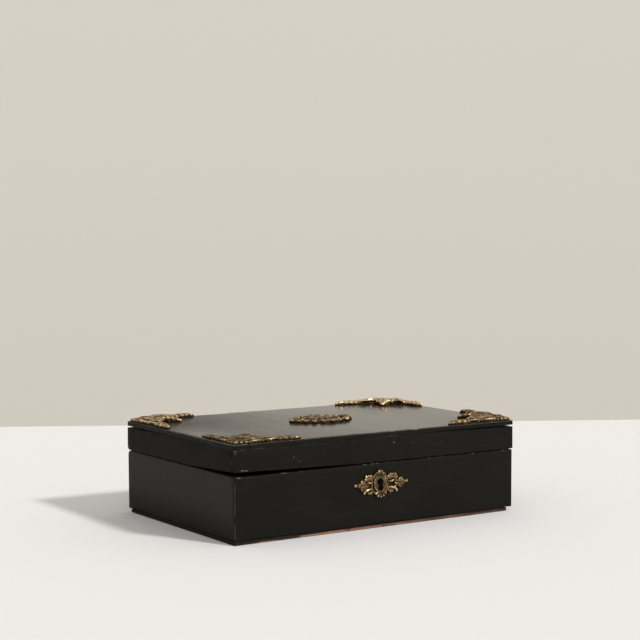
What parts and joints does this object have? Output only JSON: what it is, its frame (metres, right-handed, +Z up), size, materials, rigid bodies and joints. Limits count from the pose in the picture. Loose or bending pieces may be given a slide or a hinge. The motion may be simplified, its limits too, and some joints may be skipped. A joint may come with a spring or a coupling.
{
  "type": "deed box",
  "caption": "Low wooden deed box painted black, with a hinged lid, cast brass corner mounts, an oval lid medallion and a keyhole escutcheon over a box lock.",
  "frame": {"origin": "middle of the box's footprint on the surface it stands on", "axes": "+X to the right along the front, +Y from the keyhole front to the hinged back, +Z up"},
  "size_m": [0.3212, 0.2082, 0.0956],
  "materials": {
    "painted_wood": "worn satin black paint on softwood boards",
    "bare_wood": "bare reddish brown wood, stained by age",
    "mount_brass": "cast, lacquered and darkened in the recesses",
    "lock_brass": "rolled sheet, dulled",
    "iron": "blackened wrought iron",
    "lining_paper": "plain lining paper, yellowed and foxed"
  },
  "bodies": {
    "case": {"bolt_spring": "iron", "bottom_board": "bare_wood", "bottom_board_nails": "iron", "case_back_board": "painted_wood", "case_corner_nails": "iron", "case_front_board": "painted_wood", "case_left_board": "painted_wood", "case_right_board": "painted_wood", "case_wall_lining": "lining_paper", "escutcheon_pins": "mount_brass", "floor_lining": "lining_paper", "hinge_case_screws": "iron", "keyhole_escutcheon": "mount_brass", "left_hinge_case_leaf": "lock_brass", "left_hinge_pin": "iron", "lock_bolt_stumps": "lock_brass", "lock_cap": "lock_brass", "lock_key_pin": "lock_brass", "lock_plate": "lock_brass", "lock_screws": "iron", "right_hinge_case_leaf": "lock_brass", "right_hinge_pin": "iron"},
    "lid": {"back_left_corner_mount": "mount_brass", "back_right_corner_mount": "mount_brass", "corner_mount_pins": "mount_brass", "front_left_corner_mount": "mount_brass", "front_right_corner_mount": "mount_brass", "hinge_lid_screws": "iron", "left_hinge_lid_leaf": "lock_brass", "lid_back_board": "painted_wood", "lid_corner_nails": "iron", "lid_front_board": "painted_wood", "lid_left_board": "painted_wood", "lid_medallion": "mount_brass", "lid_right_board": "painted_wood", "lid_top_board": "painted_wood", "lid_top_lining": "lining_paper", "lid_top_nails": "iron", "lid_wall_lining": "lining_paper", "link_plate_screws": "iron", "lock_link_plate": "lock_brass", "medallion_pins": "mount_brass", "right_hinge_lid_leaf": "lock_brass"},
    "bolt": {"lock_bolt": "lock_brass"}
  },
  "joints": [
    {"name": "lid_hinge", "type": "hinge", "parent": "case", "child": "lid", "pos_m": [0, 0.0993, 0.0612], "axis": [-1, 0, 0], "range_deg": [0, 98]},
    {"name": "bolt_slide", "type": "slide", "parent": "case", "child": "bolt", "axis": [1, 0, 0], "range_m": [0, 0.0038]}
  ]
}
